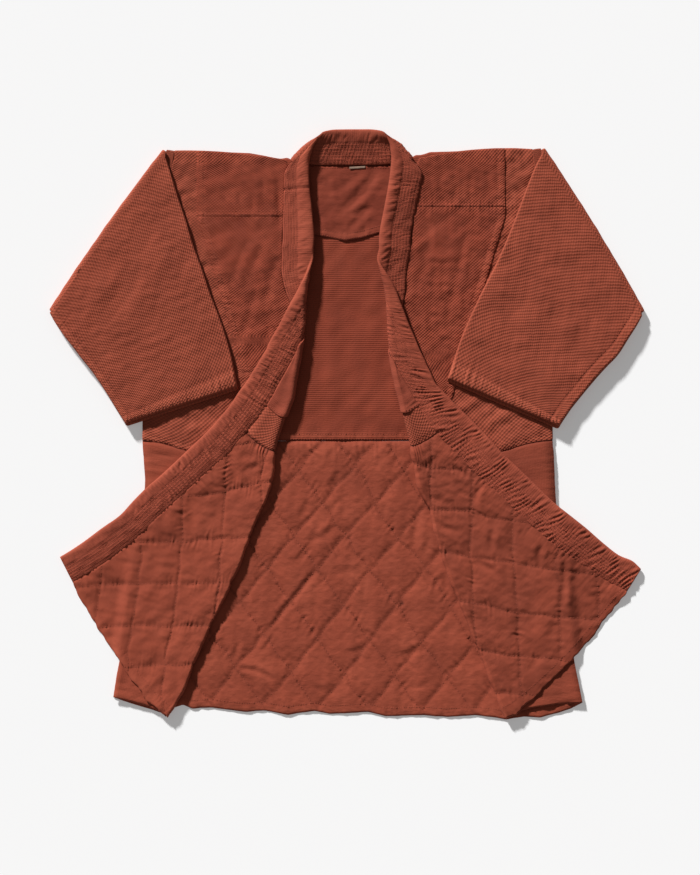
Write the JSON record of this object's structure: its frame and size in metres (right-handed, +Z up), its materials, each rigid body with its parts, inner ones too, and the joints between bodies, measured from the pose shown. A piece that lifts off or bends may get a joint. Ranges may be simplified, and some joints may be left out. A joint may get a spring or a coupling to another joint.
{
  "type": "judo jacket",
  "caption": "Judo jacket laid open flat on its back, sleeves folded down, fronts thrown outwards, quilted skirt and stitched lapel band.",
  "frame": {"origin": "bottom centre of the bounding box, on the surface the jacket lies on", "axes": "+X to the right and +Y towards the collar as seen from above, +Z up out of the surface"},
  "size_m": [0.8168, 0.81, 0.0182],
  "materials": {
    "ricegrain_cotton": "rust cotton in a rice-grain weave, matte",
    "quilted_cotton": "rust plain cotton stitched in diamonds, matte",
    "plain_cotton": "rust plain cotton, matte",
    "lapel_cotton": "rust cotton band with stitched rows, matte",
    "label_tape": "pale woven tape, matte"
  },
  "bodies": {
    "root": {"back_upper": "ricegrain_cotton", "back_skirt": "quilted_cotton", "neck_yoke": "plain_cotton", "neck_label": "label_tape", "collar": "lapel_cotton", "front_upper_left": "ricegrain_cotton", "front_upper_right": "ricegrain_cotton", "front_skirt_left": "quilted_cotton", "front_skirt_right": "quilted_cotton", "shoulder_patch_left": "plain_cotton", "shoulder_patch_right": "plain_cotton", "chest_patch_left": "plain_cotton", "chest_patch_right": "plain_cotton", "inner_facing_left": "plain_cotton", "inner_facing_right": "plain_cotton", "sleeve_left": "ricegrain_cotton", "sleeve_right": "ricegrain_cotton"}
  },
  "joints": []
}
